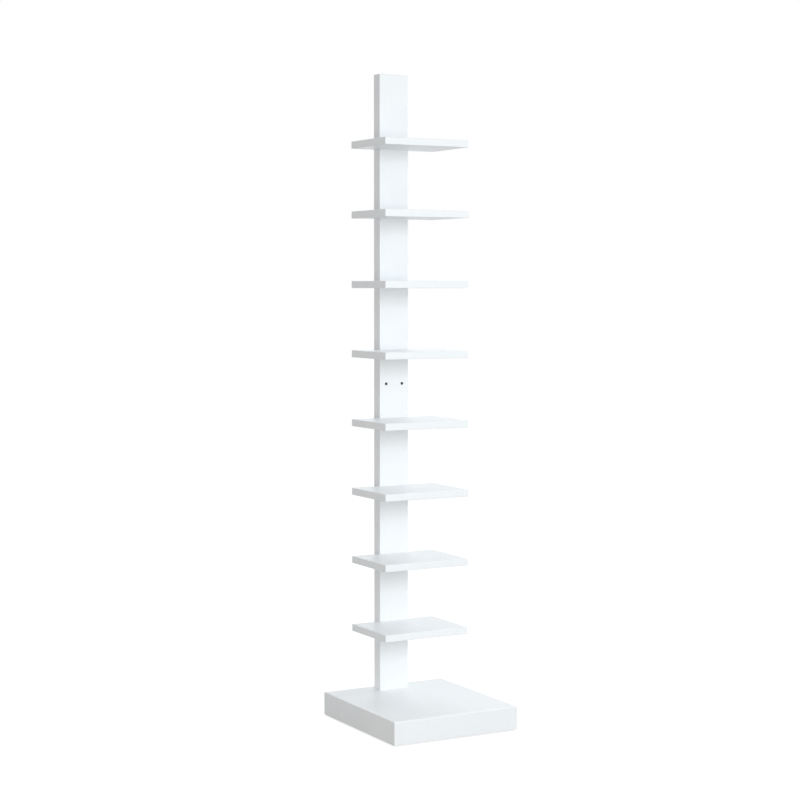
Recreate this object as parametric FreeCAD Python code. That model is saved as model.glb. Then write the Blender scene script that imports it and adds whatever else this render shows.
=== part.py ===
import FreeCAD, Part
import os

# Spine bookshelf: one upright spine board near the back of a slab base, with eight shelves that
# stand out from its front. Millimetres, +Z up, front towards -Y. The origin is the centre of the
# base's footprint on the floor.

V = FreeCAD.Vector
RIGHT = V(1, 0, 0)
BACK = V(0, 1, 0)
FORWARD = V(0, -1, 0)
UP = V(0, 0, 1)
SIDES = (-1, 1)

# Base: a box of mitred boards round a core, on four stick-on pads
BASE_WIDTH = 350.0
BASE_DEPTH = 380.0
BASE_HEIGHT = 58.0
BASE_ARRIS = 2.0
TOP_PANEL_THICKNESS = 18.0
BOTTOM_PANEL_THICKNESS = 12.0
RAIL_THICKNESS = 25.0
CORE_RIB_WIDTH = 36.0
SOCKET_BLOCK_DEPTH = 60.0
PAD_THICKNESS = 3.0
PAD_SIZE = 20.0
PAD_INSET = 14.0

# Spine: two halves that lap over one shelf pitch
SPINE_WIDTH = 83.0
SPINE_THICKNESS = 33.0
SPINE_ARRIS = 2.0
SPINE_END_CHAMFER = 1.0
SPINE_RISE = 174.0
LAP_FRONT_THICKNESS = 18.0

# Shelves, numbered from the top
SHELF_COUNT = 8
UPPER_SHELF_COUNT = 4
SHELF_WIDTH = 238.0
SHELF_DEPTH = 182.0
SHELF_THICKNESS = 18.0
SHELF_ARRIS = 1.0
SHELF_PITCH = 176.0
LOWEST_BAY_HEIGHT = 163.0
HOUSING_DEPTH = 8.0

# Connecting screws: one into each shelf and two into the spine's foot
SCREW_DIAMETER = 7.0
SCREW_LENGTH = 46.0
SCREW_HEAD_DIAMETER = 10.0
SCREW_HEAD_HEIGHT = 4.0
SCREW_KEY_WIDTH = 4.0
SCREW_KEY_DEPTH = 3.0
SCREW_RECESS = 5.0

# Splice bolts and the threaded sleeves that they screw into
BOLT_DIAMETER = 4.0
BOLT_LENGTH = 25.0
BOLT_HEAD_DIAMETER = 7.0
BOLT_HEAD_HEIGHT = 4.0
BOLT_KEY_WIDTH = 3.0
BOLT_KEY_DEPTH = 2.5
BOLT_RECESS = 5.0
INSERT_DIAMETER = 8.0
INSERT_LENGTH = 12.0

# Fits
PAIR_SPACING = 46.0
HOLE_CLEARANCE = 0.25
THREAD_CLEARANCE = 0.1
BLIND_HOLE_END = 0.5

# Planes and levels that several pieces share
BASE_TOP = PAD_THICKNESS + BASE_HEIGHT
CORE_BOTTOM = PAD_THICKNESS + BOTTOM_PANEL_THICKNESS
CORE_TOP = BASE_TOP - TOP_PANEL_THICKNESS
INNER_WIDTH = BASE_WIDTH - 2 * RAIL_THICKNESS
INNER_DEPTH = BASE_DEPTH - 2 * RAIL_THICKNESS
SPINE_BACK = INNER_DEPTH / 2
SPINE_FRONT = SPINE_BACK - SPINE_THICKNESS
SPINE_MIDDLE = SPINE_BACK - SPINE_THICKNESS / 2
LAP_PLANE = SPINE_FRONT + LAP_FRONT_THICKNESS
HOUSING_FLOOR = SPINE_FRONT + HOUSING_DEPTH
LOWEST_SHELF_TOP = BASE_TOP + LOWEST_BAY_HEIGHT + SHELF_THICKNESS


def shelf_top(number):
    """Height of a shelf's upper face; shelf 1 is the highest."""
    return LOWEST_SHELF_TOP + (SHELF_COUNT - number) * SHELF_PITCH


# The lap's shoulders are level with the tops of the shelves below and above the middle bay
LAP_BOTTOM = shelf_top(UPPER_SHELF_COUNT + 1)
LAP_TOP = shelf_top(UPPER_SHELF_COUNT)
SPLICE_LEVEL = (LAP_TOP + LAP_BOTTOM) / 2
SPINE_TOP = shelf_top(1) + SPINE_RISE


def block(x, y, z):
    """Box between a pair of limits along each axis."""
    return Part.makeBox(x[1] - x[0], y[1] - y[0], z[1] - z[0], V(x[0], y[0], z[0]))


def centred(size):
    """Limits of a length that is centred on zero."""
    return (-size / 2, size / 2)


def rod(diameter, start, direction, length):
    """Round bar or drilled hole."""
    return Part.makeCylinder(diameter / 2, length, start, direction)


def upper_edges(shape):
    """Edges of a block's upper face."""
    return [edge for edge in shape.Edges if edge.BoundBox.ZMin > shape.BoundBox.Center.z]


def upright_edges(shape):
    """Edges that run from a block's lower face to its upper face."""
    middle = shape.BoundBox.Center.z
    return [edge for edge in shape.Edges if edge.BoundBox.ZMin < middle < edge.BoundBox.ZMax]


def hexagon(width, depth):
    """Six-sided prism along +Z, measured across its flats."""
    turn = FreeCAD.Rotation(UP, 60)
    corners = [V(width / 3 ** 0.5, 0, 0)]
    for _ in range(5):
        corners.append(turn.multVec(corners[-1]))
    return Part.Face(Part.makePolygon(corners + corners[:1])).extrude(UP * depth)


class Fastener:
    """Screw or bolt with a flat-bottomed round head, turned by a hexagonal key."""

    def __init__(self, shank, length, head, head_height, key_width, key_depth, recess):
        self.shank = shank
        self.length = length
        self.head = head
        self.head_height = head_height
        self.key_width = key_width
        self.key_depth = key_depth
        self.recess = recess

    def solid(self, seat, direction):
        """The fastener with its head's underside on the seat, pointing along direction."""
        shank = rod(self.shank, V(0, 0, 0), UP, self.length)
        head = rod(self.head, V(0, 0, -self.head_height), UP, self.head_height)
        socket = hexagon(self.key_width, self.key_depth)
        socket.translate(V(0, 0, -self.head_height))
        body = shank.fuse(head).cut(socket)
        body.Placement = FreeCAD.Placement(seat, FreeCAD.Rotation(UP, direction))
        return body

    def counterbore(self, seat, direction):
        """Recess that sinks the head below the outer face."""
        return rod(self.head + 2 * HOLE_CLEARANCE, seat, direction * -1, self.recess)

    def clearance_hole(self, seat, direction, length):
        """Hole that the shank passes through freely."""
        return rod(self.shank + 2 * HOLE_CLEARANCE, seat, direction, length)

    def thread_hole(self, seat, direction):
        """Hole that the thread bites in, a little deeper than the shank's end."""
        return rod(self.shank + 2 * THREAD_CLEARANCE, seat, direction,
                   self.length + BLIND_HOLE_END)


CONNECTING_SCREW = Fastener(SCREW_DIAMETER, SCREW_LENGTH, SCREW_HEAD_DIAMETER,
                            SCREW_HEAD_HEIGHT, SCREW_KEY_WIDTH, SCREW_KEY_DEPTH, SCREW_RECESS)
SPLICE_BOLT = Fastener(BOLT_DIAMETER, BOLT_LENGTH, BOLT_HEAD_DIAMETER,
                       BOLT_HEAD_HEIGHT, BOLT_KEY_WIDTH, BOLT_KEY_DEPTH, BOLT_RECESS)


def pair_at(y, z):
    """Two points, left and right of the spine's middle, for the fasteners that come in pairs."""
    return [V(side * PAIR_SPACING / 2, y, z) for side in SIDES]


def shelf_screw_seat(number):
    """Where the head of a shelf's screw bears, inside the spine's back face."""
    return V(0, SPINE_BACK - SCREW_RECESS, shelf_top(number) - SHELF_THICKNESS / 2)


def splice_bolt_seats():
    """Where the splice bolts' heads bear, inside the spine's front face."""
    return pair_at(SPINE_FRONT + BOLT_RECESS, SPLICE_LEVEL)


def foot_screw_seats():
    """Where the foot screws' heads bear, inside the bottom panel's lower face."""
    return pair_at(SPINE_MIDDLE, PAD_THICKNESS + SCREW_RECESS)


def base_envelope():
    """Outer form of the base, with its upright and upper arrises softened."""
    slab = block(centred(BASE_WIDTH), centred(BASE_DEPTH), (PAD_THICKNESS, BASE_TOP))
    return slab.makeFillet(BASE_ARRIS, upright_edges(slab) + upper_edges(slab))


def top_panel_wedge():
    """Space of the top panel: it narrows downwards at 45 degrees along its four mitres."""
    x = centred(BASE_WIDTH)
    y = centred(BASE_DEPTH)
    mitre = TOP_PANEL_THICKNESS
    wedge = Part.makeWedge(
        x[0] + mitre, 0, y[0] + mitre, y[0], x[0],
        x[1] - mitre, TOP_PANEL_THICKNESS, y[1] - mitre, y[1], x[1])
    wedge.rotate(V(0, 0, 0), RIGHT, 90)
    wedge.translate(UP * CORE_TOP)
    return wedge


def base_top_panel():
    """Panel with mitred edges and the through slot that the spine's foot drops into."""
    slot = block(centred(SPINE_WIDTH), (SPINE_FRONT, SPINE_BACK), (CORE_TOP, BASE_TOP))
    return base_envelope().common(top_panel_wedge()).cut(slot)


def corners_of(width, depth):
    """Corners of a rectangle centred on the origin, in turn from the front left."""
    x = centred(width)
    y = centred(depth)
    return [V(x[0], y[0], 0), V(x[1], y[0], 0), V(x[1], y[1], 0), V(x[0], y[1], 0)]


def base_rails():
    """Front, right, back and left rails, mitred to each other and to the top panel."""
    outer = corners_of(BASE_WIDTH, BASE_DEPTH)
    inner = corners_of(INNER_WIDTH, INNER_DEPTH)
    ring = base_envelope().cut(top_panel_wedge())
    rails = {}
    for start, name in enumerate(("front", "right", "back", "left")):
        end = (start + 1) % len(outer)
        outline = [outer[start], outer[end], inner[end], inner[start], outer[start]]
        sector = Part.Face(Part.makePolygon(outline)).extrude(UP * BASE_TOP)
        rails["base_%s_rail" % name] = ring.common(sector)
    return rails


def base_bottom_panel():
    """Panel let in flush between the rails, drilled for the screws into the spine's foot."""
    panel = block(centred(INNER_WIDTH), centred(INNER_DEPTH), (PAD_THICKNESS, CORE_BOTTOM))
    for seat in foot_screw_seats():
        panel = panel.cut(CONNECTING_SCREW.counterbore(seat, UP))
        panel = panel.cut(CONNECTING_SCREW.clearance_hole(seat, UP, CORE_BOTTOM - seat.z))
    return panel


def base_core_rib(side):
    """Rib from the front rail to the back rail, along one side of the spine's foot."""
    near = side * SPINE_WIDTH / 2
    far = near + side * CORE_RIB_WIDTH
    return block(sorted((near, far)), centred(INNER_DEPTH), (CORE_BOTTOM, CORE_TOP))


def base_socket_block():
    """Block between the ribs that the front of the spine's foot bears on."""
    return block(centred(SPINE_WIDTH), (SPINE_FRONT - SOCKET_BLOCK_DEPTH, SPINE_FRONT),
                 (CORE_BOTTOM, CORE_TOP))


def base_pads():
    """Square pads stuck under the corners of the base, just in from its faces."""
    pads = []
    for sx in SIDES:
        for sy in SIDES:
            outer = V(sx * (BASE_WIDTH / 2 - PAD_INSET), sy * (BASE_DEPTH / 2 - PAD_INSET), 0)
            inner = outer - V(sx * PAD_SIZE, sy * PAD_SIZE, 0)
            pads.append(block(sorted((outer.x, inner.x)), sorted((outer.y, inner.y)),
                              (0, PAD_THICKNESS)))
    return pads


def insert_hole_mouth(seat):
    """Where the hole for a splice insert opens, in the lap plane behind a bolt's seat."""
    return V(seat.x, LAP_PLANE, seat.z)


def splice_insert(seat):
    """Threaded sleeve sunk in the rear tongue of the lap."""
    mouth = insert_hole_mouth(seat)
    sleeve = rod(INSERT_DIAMETER, mouth, BACK, INSERT_LENGTH)
    return sleeve.cut(rod(BOLT_DIAMETER + 2 * THREAD_CLEARANCE, mouth, BACK, INSERT_LENGTH))


def housing(number):
    """Groove across the spine's front that a shelf's rear edge is let into."""
    top = shelf_top(number)
    return block(centred(SPINE_WIDTH), (SPINE_FRONT, HOUSING_FLOOR), (top - SHELF_THICKNESS, top))


def whole_spine():
    """Both halves of the spine in one, with the housings and holes cut across the lap."""
    spine = block(centred(SPINE_WIDTH), (SPINE_FRONT, SPINE_BACK), (CORE_BOTTOM, SPINE_TOP))
    spine = spine.makeFillet(SPINE_ARRIS, upright_edges(spine))
    spine = spine.makeChamfer(SPINE_END_CHAMFER, upper_edges(spine))
    cuts = []
    for number in range(1, SHELF_COUNT + 1):
        seat = shelf_screw_seat(number)
        cuts.append(housing(number))
        cuts.append(CONNECTING_SCREW.counterbore(seat, FORWARD))
        cuts.append(CONNECTING_SCREW.clearance_hole(seat, FORWARD, seat.y - HOUSING_FLOOR))
    for seat in splice_bolt_seats():
        cuts.append(SPLICE_BOLT.counterbore(seat, BACK))
        cuts.append(SPLICE_BOLT.clearance_hole(seat, BACK, LAP_PLANE - seat.y))
        cuts.append(rod(INSERT_DIAMETER + 2 * THREAD_CLEARANCE, insert_hole_mouth(seat), BACK,
                        INSERT_LENGTH + BLIND_HOLE_END))
    for seat in foot_screw_seats():
        cuts.append(CONNECTING_SCREW.thread_hole(seat, UP))
    return spine.cut(cuts)


def spine_halves():
    """Upper and lower halves; the upper one's tongue laps in front of the lower one's."""
    tongue_space = block(centred(SPINE_WIDTH), (SPINE_FRONT, LAP_PLANE), (LAP_BOTTOM, LAP_TOP))
    body_space = block(centred(SPINE_WIDTH), (SPINE_FRONT, SPINE_BACK), (LAP_TOP, SPINE_TOP))
    upper_space = tongue_space.fuse(body_space).removeSplitter()
    spine = whole_spine()
    return spine.common(upper_space), spine.cut(upper_space)


def shelf(number):
    """Board with chamfered arrises, drilled in its rear edge for the screw from behind."""
    top = shelf_top(number)
    board = block(centred(SHELF_WIDTH), (HOUSING_FLOOR - SHELF_DEPTH, HOUSING_FLOOR),
                  (top - SHELF_THICKNESS, top))
    board = board.makeChamfer(SHELF_ARRIS, board.Edges)
    return board.cut(CONNECTING_SCREW.thread_hole(shelf_screw_seat(number), FORWARD))


def build():
    """Every node of the bookshelf, by name; a node with repeats holds separate solids."""
    numbers = range(1, SHELF_COUNT + 1)
    upper_spine, lower_spine = spine_halves()
    nodes = {
        "upper_spine": [upper_spine],
        "lower_spine": [lower_spine],
        "base_top_panel": [base_top_panel()],
        "base_bottom_panel": [base_bottom_panel()],
        "base_left_core_rib": [base_core_rib(-1)],
        "base_right_core_rib": [base_core_rib(1)],
        "base_socket_block": [base_socket_block()],
        "base_pads": base_pads(),
        "shelf_screws": [
            CONNECTING_SCREW.solid(shelf_screw_seat(number), FORWARD) for number in numbers],
        "foot_screws": [CONNECTING_SCREW.solid(seat, UP) for seat in foot_screw_seats()],
        "splice_bolts": [SPLICE_BOLT.solid(seat, BACK) for seat in splice_bolt_seats()],
        "splice_inserts": [splice_insert(seat) for seat in splice_bolt_seats()],
    }
    for name, rail in base_rails().items():
        nodes[name] = [rail]
    for number in numbers:
        nodes["shelf_%d" % number] = [shelf(number)]
    return nodes


os.makedirs("parts", exist_ok=True)
for name, solids in build().items():
    Part.makeCompound(solids).exportStep(os.path.join("parts", name + ".step"))
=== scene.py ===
"""Spine bookshelf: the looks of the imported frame.

The boards, fittings and pads are modelled over their construction nodes, given procedural
finishes and stood in a plain studio. Lengths are metres, +Z is up and the front faces -Y.
"""

import logging
import math
from collections.abc import Callable, Iterator, Sequence
from contextlib import contextmanager
from dataclasses import dataclass
from enum import Enum, IntEnum
from functools import cache
from itertools import pairwise, product
from typing import Any, Self

import bmesh
import bpy
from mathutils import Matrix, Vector


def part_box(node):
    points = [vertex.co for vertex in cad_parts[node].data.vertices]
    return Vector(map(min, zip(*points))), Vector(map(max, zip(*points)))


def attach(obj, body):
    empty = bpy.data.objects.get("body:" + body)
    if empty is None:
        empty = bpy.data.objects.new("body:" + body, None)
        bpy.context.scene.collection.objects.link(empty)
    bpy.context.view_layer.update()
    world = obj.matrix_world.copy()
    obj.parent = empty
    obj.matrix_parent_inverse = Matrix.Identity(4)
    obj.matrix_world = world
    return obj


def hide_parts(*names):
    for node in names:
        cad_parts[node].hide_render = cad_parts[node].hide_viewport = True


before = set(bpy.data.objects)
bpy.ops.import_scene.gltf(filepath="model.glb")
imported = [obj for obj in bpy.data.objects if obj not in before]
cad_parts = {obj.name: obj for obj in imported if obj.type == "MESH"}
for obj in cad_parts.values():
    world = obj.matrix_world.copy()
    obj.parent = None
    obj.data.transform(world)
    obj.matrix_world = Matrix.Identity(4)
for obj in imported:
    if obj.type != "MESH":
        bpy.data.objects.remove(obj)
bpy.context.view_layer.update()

Colour = tuple[float, float, float, float]
Triple = tuple[float, float, float]
Rings = Sequence[tuple[float, float]]
Box = tuple[Vector, Vector]
Rule = Callable[[Vector, Vector], bool]
Socket = bpy.types.NodeSocket
Sockets = bpy.types.NodeOutputs
Tree = bpy.types.NodeTree
Material = bpy.types.Material
Pattern = tuple[dict[str, Any], Socket]

LOG = logging.getLogger("spine_bookshelf")

BACK = Vector((0, 1, 0))
UP = Vector((0, 0, 1))
WHITE: Colour = (1.0, 1.0, 1.0, 1.0)

SHELF_COUNT = 8

# Lengths closer together than this are the same, and corners closer than the next are one.
TOUCH = 1e-5
SAME_CORNER = 1e-6
# How far a cutter stands out of the board that it cuts.
OVERRUN = 0.01
# How far a cutter's sloping mouth is carried on past the surface.
MOUTH_OVERRUN = 0.001
# How far a trimming form passes a thread's crests, and its roots at the tip.
TRIM = 0.0002
# Length of the slope from one width to the next on a fitting.
LEAD_IN = 0.0004
# Corners in one turn of a thread, and turns that it is wound past its length and then loses.
THREAD_STEPS = 24
SPARE_TURNS = 2
# Edges that turn by less than this are shaded smoothly, and by less than the next aren't needed.
SMOOTH_ANGLE = math.radians(32)
FLAT_ANGLE = math.radians(1)
# A face looks along an axis where that part of its normal is above this.
FACING = 0.5


class Slot(Enum):
    """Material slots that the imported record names."""

    WHITE_LACQUER = "white_lacquer"
    RAW_BOARD = "raw_board"
    BLACK_STEEL = "black_steel"
    BRASS_INSERT = "brass_insert"
    FELT = "felt"


class Layer(IntEnum):
    """Order of a board's materials on its object."""

    LACQUERED_FACE = 0
    LACQUERED_EDGE = 1
    RAW = 2


class Side(Enum):
    """Sides of the base, each with the way that it faces."""

    FRONT = (0, -1, 0)
    RIGHT = (1, 0, 0)
    BACK = (0, 1, 0)
    LEFT = (-1, 0, 0)

    @property
    def way(self) -> Vector:
        """Points out of this side."""
        return Vector(self.value)


class Merge(Enum):
    """Ways to combine two solids."""

    JOIN = "UNION"
    CUT = "DIFFERENCE"
    OVERLAP = "INTERSECT"


class Pick(Enum):
    """What is picked out in edit mode."""

    CORNERS = "VERT"
    EDGES = "EDGE"
    FACES = "FACE"


# ---------------- shader graphs


class Graph:
    """A node tree being drawn up: adds nodes, sets their values and joins them."""

    def __init__(self, tree: Tree) -> None:
        """Starts on a tree and empties it.

        Args:
            tree: The tree.
        """
        self.tree = tree
        self.place: Socket | None = None
        tree.nodes.clear()

    def add(self, kind: str, values: dict[Any, Any] | None = None, **settings: Any) -> bpy.types.Node:
        """Adds a node.

        Args:
            kind: Blender's type name of the node.
            values: Input sockets by name or number, each with a value or a socket to join.
            settings: Properties of the node itself.

        Returns:
            The new node.
        """
        node = self.tree.nodes.new(kind)
        for key, value in settings.items():
            setattr(node, key, value)
        for key, value in (values or {}).items():
            if isinstance(value, Socket):
                self.tree.links.new(value, node.inputs[key])
            else:
                node.inputs[key].default_value = value
        return node

    def maths(self, operation: str, *values: Any) -> Socket:
        """Adds a Math node on up to three values or sockets and gives its result."""
        return self.add("ShaderNodeMath", dict(enumerate(values)), operation=operation).outputs[0]

    def spread(self, value: Any, low: float, high: float, start: float = 0.0, end: float = 1.0) -> Socket:
        """Maps the range from low to high onto start to end, held at both ends."""
        ranges = {"Value": value, "From Min": low, "From Max": high, "To Min": start, "To Max": end}
        return self.add("ShaderNodeMapRange", ranges).outputs["Result"]

    def blend(self, share: Any, first: Any, second: Any) -> Socket:
        """Mixes two colours, with a share of the second."""
        return self.add("ShaderNodeMix", {0: share, 6: first, 7: second}, data_type="RGBA").outputs[2]

    def noise(
        self, size: float, detail: float = 2.0, rough: float = 0.5, scale: Triple | None = None
    ) -> Socket:
        """Adds a noise on the graph's place.

        Args:
            size: Size of its blotches.
            detail: How many times finer blotches are added.
            rough: Share of the finer blotches.
            scale: Squeezes the noise by this much along each axis.

        Returns:
            The noise.
        """
        place = self.place
        if scale is not None:
            place = self.add("ShaderNodeMapping", {"Vector": place, "Scale": scale}).outputs[0]
        values = {"Vector": place, "Scale": 1.0 / size, "Detail": detail, "Roughness": rough}
        return self.add("ShaderNodeTexNoise", values).outputs[0]

    def effect(self, group: Tree, values: dict[str, Any]) -> Sockets:
        """Places a shared effect with its own values and gives its outputs."""
        return self.add("ShaderNodeGroup", {"Place": self.place, **values}, node_tree=group).outputs


def start_group(name: str, given: Sequence[str], result: Sequence[str]) -> tuple[Graph, Sockets]:
    """Makes an empty group with its sockets.

    Args:
        name: Name of the group.
        given: Names of the numbers that it takes, besides Place.
        result: Names of the numbers that it gives.

    Returns:
        The group's graph, and what it takes by name.
    """
    tree = bpy.data.node_groups.new(name, "ShaderNodeTree")
    tree.interface.new_socket(name="Place", in_out="INPUT", socket_type="NodeSocketVector")
    for in_out, names in (("INPUT", given), ("OUTPUT", result)):
        for key in names:
            tree.interface.new_socket(name=key, in_out=in_out, socket_type="NodeSocketFloat")
    graph = Graph(tree)
    inputs = graph.add("NodeGroupInput").outputs
    graph.place = inputs["Place"]
    return graph, inputs


@cache
def sprayed_skin() -> Tree:
    """Orange peel of sprayed lacquer over the long waves of a sanded board.

    Returns:
        The group, which gives Height in metres and Gloss, a mask of how it varies.
    """
    graph, given = start_group("sprayed_skin", ["Peel Depth", "Wave Depth"], ["Height", "Gloss"])
    peel = graph.noise(size=0.0026, detail=1.0)
    fine = graph.noise(size=0.0009, detail=1.0)
    skin = graph.maths("MULTIPLY_ADD", fine, 0.3, peel)
    wave = graph.noise(size=0.11, detail=2.0, rough=0.4)
    raised = graph.maths("MULTIPLY", skin, given["Peel Depth"])
    height = graph.maths("MULTIPLY_ADD", wave, given["Wave Depth"], raised)
    cloudy = graph.noise(size=0.07, detail=4.0, rough=0.6)
    wiped = graph.noise(size=0.12, detail=3.0, scale=(9.0, 1.6, 1.6))
    gloss = graph.maths("MULTIPLY_ADD", wiped, 0.5, graph.maths("MULTIPLY", cloudy, 0.5))
    graph.add("NodeGroupOutput", {"Height": height, "Gloss": graph.spread(gloss, 0.32, 0.68)})
    return graph.tree


@cache
def arris_wear_and_highlight() -> Tree:
    """Where an edge stands out, broken up along its length.

    Returns:
        The group, which gives Mask, 1 on an edge and 0 elsewhere, for wear and a painted highlight.
    """
    graph, given = start_group("arris_wear_and_highlight", ["Reach", "Breaks"], ["Mask"])
    rounded = graph.add("ShaderNodeBevel", {"Radius": given["Reach"]}, samples=4)
    surface = graph.add("ShaderNodeNewGeometry")
    facing = graph.add(
        "ShaderNodeVectorMath",
        {0: rounded.outputs[0], 1: surface.outputs["True Normal"]},
        operation="DOT_PRODUCT",
    )
    edge = graph.spread(facing.outputs["Value"], 0.995, 0.86)
    broken = graph.noise(size=0.018, detail=5.0, rough=0.65)
    kept = graph.maths("SUBTRACT", 1.0, given["Breaks"])
    patchy = graph.maths("MULTIPLY_ADD", broken, given["Breaks"], kept)
    graph.add("NodeGroupOutput", {"Mask": graph.maths("MULTIPLY", edge, patchy)})
    return graph.tree


@cache
def settled_dust() -> Tree:
    """Fine dust on faces that look up.

    Returns:
        The group, which gives Mask, the share of dust.
    """
    graph, _ = start_group("settled_dust", [], ["Mask"])
    surface = graph.add("ShaderNodeNewGeometry")
    height = graph.add("ShaderNodeSeparateXYZ", {0: surface.outputs["Normal"]}).outputs["Z"]
    level = graph.spread(height, 0.35, 0.95)
    drift = graph.noise(size=0.05, detail=5.0, rough=0.6)
    specks = graph.noise(size=0.0011, detail=0.0)
    grain = graph.maths("MULTIPLY", graph.spread(specks, 0.55, 0.75), graph.spread(drift, 0.35, 0.7))
    spread_out = graph.maths("MULTIPLY", drift, 0.3)
    dust = graph.maths("MULTIPLY_ADD", grain, 0.7, spread_out)
    graph.add("NodeGroupOutput", {"Mask": graph.maths("MULTIPLY", level, dust)})
    return graph.tree


@cache
def pressed_fibre() -> Tree:
    """Short crossed fibres of pressed board or felt.

    Returns:
        The group, which gives Shade, Fleck and Height in metres.
    """
    graph, given = start_group("pressed_fibre", ["Fibre"], ["Shade", "Fleck", "Height"])
    lying, standing = (
        graph.noise(size=1.0, detail=3.0, rough=0.6, scale=scale)
        for scale in ((260.0, 1500.0, 900.0), (1500.0, 260.0, 900.0))
    )
    fibres = graph.maths("MAXIMUM", lying, standing)
    cloud = graph.noise(size=0.03, detail=3.0)
    shade = graph.maths("MULTIPLY_ADD", cloud, 0.45, graph.maths("MULTIPLY", fibres, 0.55))
    fleck = graph.noise(size=0.0014, detail=1.0)
    result = {
        "Shade": graph.spread(shade, 0.3, 0.75),
        "Fleck": graph.spread(fleck, 0.66, 0.72),
        "Height": graph.maths("MULTIPLY", fibres, given["Fibre"]),
    }
    graph.add("NodeGroupOutput", result)
    return graph.tree


@cache
def machined_grain() -> Tree:
    """Fine random scratches and blotches on metal.

    Returns:
        The group, which gives Scratch, Blotch and Height in metres.
    """
    graph, given = start_group("machined_grain", ["Depth"], ["Scratch", "Blotch", "Height"])
    scratch = graph.noise(size=0.0007, detail=4.0, rough=0.7, scale=(1.0, 1.0, 7.0))
    blotch = graph.noise(size=0.0022, detail=4.0, rough=0.6)
    result = {
        "Scratch": scratch,
        "Blotch": graph.spread(blotch, 0.35, 0.68),
        "Height": graph.maths("MULTIPLY", scratch, given["Depth"]),
    }
    graph.add("NodeGroupOutput", result)
    return graph.tree


# ---------------- finishes


@dataclass(frozen=True)
class Finish:
    """A procedural material."""

    name: str

    def surface(self, graph: Graph) -> Pattern:
        """Draws the pattern and gives the shader's inputs and the surface's height."""
        raise NotImplementedError

    def material(self) -> Material:
        """Builds the material.

        Returns:
            The material, with its pattern on Object coordinates.
        """
        material = bpy.data.materials.new(self.name)
        material.use_nodes = True
        graph = Graph(material.node_tree)
        graph.place = graph.add("ShaderNodeTexCoord").outputs["Object"]
        values, height = self.surface(graph)
        bump = graph.add("ShaderNodeBump", {"Height": height, "Distance": 1.0, "Strength": 1.0})
        shader = graph.add("ShaderNodeBsdfPrincipled", {**values, "Normal": bump.outputs[0]})
        graph.add("ShaderNodeOutputMaterial", {"Surface": shader.outputs[0]})
        return material


@dataclass(frozen=True)
class Lacquer(Finish):
    """Sprayed satin white lacquer on pressed board, with smoother arrises that get a painted highlight."""

    film: Colour = (0.856, 0.878, 0.892, 1.0)
    shadow: Colour = (0.836, 0.86, 0.876, 1.0)
    # Lighter colour laid along the arrises: a painted highlight.
    arris: Colour = (0.878, 0.896, 0.908, 1.0)
    dust: Colour = (0.76, 0.765, 0.77, 1.0)
    dust_share: float = 0.16
    roughness: float = 0.37
    roughness_spread: float = 0.07
    worn_roughness: float = -0.02
    dusty_roughness: float = 0.22
    peel_depth: float = 9e-6
    wave_depth: float = 1.2e-4
    wear_reach: float = 0.0012
    wear_breaks: float = 0.6
    ior: float = 1.48
    coat: float = 0.12
    coat_roughness: float = 0.16

    def surface(self, graph: Graph) -> Pattern:
        """Draws the lacquer.

        Args:
            graph: The material's graph.

        Returns:
            The shader's inputs and the height of the surface in metres.
        """
        skin = graph.effect(sprayed_skin(), {"Peel Depth": self.peel_depth, "Wave Depth": self.wave_depth})
        # Edge mask, used below both for the rubbed, smoother roughness and for the painted highlight.
        wear = graph.effect(arris_wear_and_highlight(), {"Reach": self.wear_reach, "Breaks": self.wear_breaks})["Mask"]
        dust = graph.effect(settled_dust(), {})["Mask"]
        film = graph.blend(skin["Gloss"], self.film, self.shadow)
        # Painted highlight: the arrises are lightened in colour; the same mask rubs their roughness down
        # below.
        film = graph.blend(wear, film, self.arris)
        film = graph.blend(graph.maths("MULTIPLY", dust, self.dust_share), film, self.dust)
        half = self.roughness_spread
        satin = graph.spread(skin["Gloss"], 0.0, 1.0, self.roughness - half, self.roughness + half)
        rubbed = graph.maths("MULTIPLY_ADD", wear, self.worn_roughness, satin)
        dusty = graph.maths("MULTIPLY_ADD", dust, self.dusty_roughness, rubbed)
        coat = {"Coat Weight": self.coat, "Coat Roughness": self.coat_roughness}
        return {"Base Color": film, "Roughness": dusty, "IOR": self.ior, **coat}, skin["Height"]


@dataclass(frozen=True)
class RawBoard(Finish):
    """Unfinished pressed fibre board."""

    pale: Colour = (0.47, 0.335, 0.205, 1.0)
    dark: Colour = (0.31, 0.205, 0.115, 1.0)
    fleck: Colour = (0.13, 0.075, 0.04, 1.0)
    fleck_share: float = 0.6
    fibre_height: float = 4e-5
    smoothest: float = 0.78
    roughest: float = 0.93
    ior: float = 1.4

    def surface(self, graph: Graph) -> Pattern:
        """Draws the board.

        Args:
            graph: The material's graph.

        Returns:
            The shader's inputs and the height of the surface in metres.
        """
        fibre = graph.effect(pressed_fibre(), {"Fibre": self.fibre_height})
        colour = graph.blend(fibre["Shade"], self.dark, self.pale)
        colour = graph.blend(graph.maths("MULTIPLY", fibre["Fleck"], self.fleck_share), colour, self.fleck)
        rough = graph.spread(fibre["Shade"], 0.0, 1.0, self.smoothest, self.roughest)
        return {"Base Color": colour, "Roughness": rough, "IOR": self.ior}, fibre["Height"]


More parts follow.
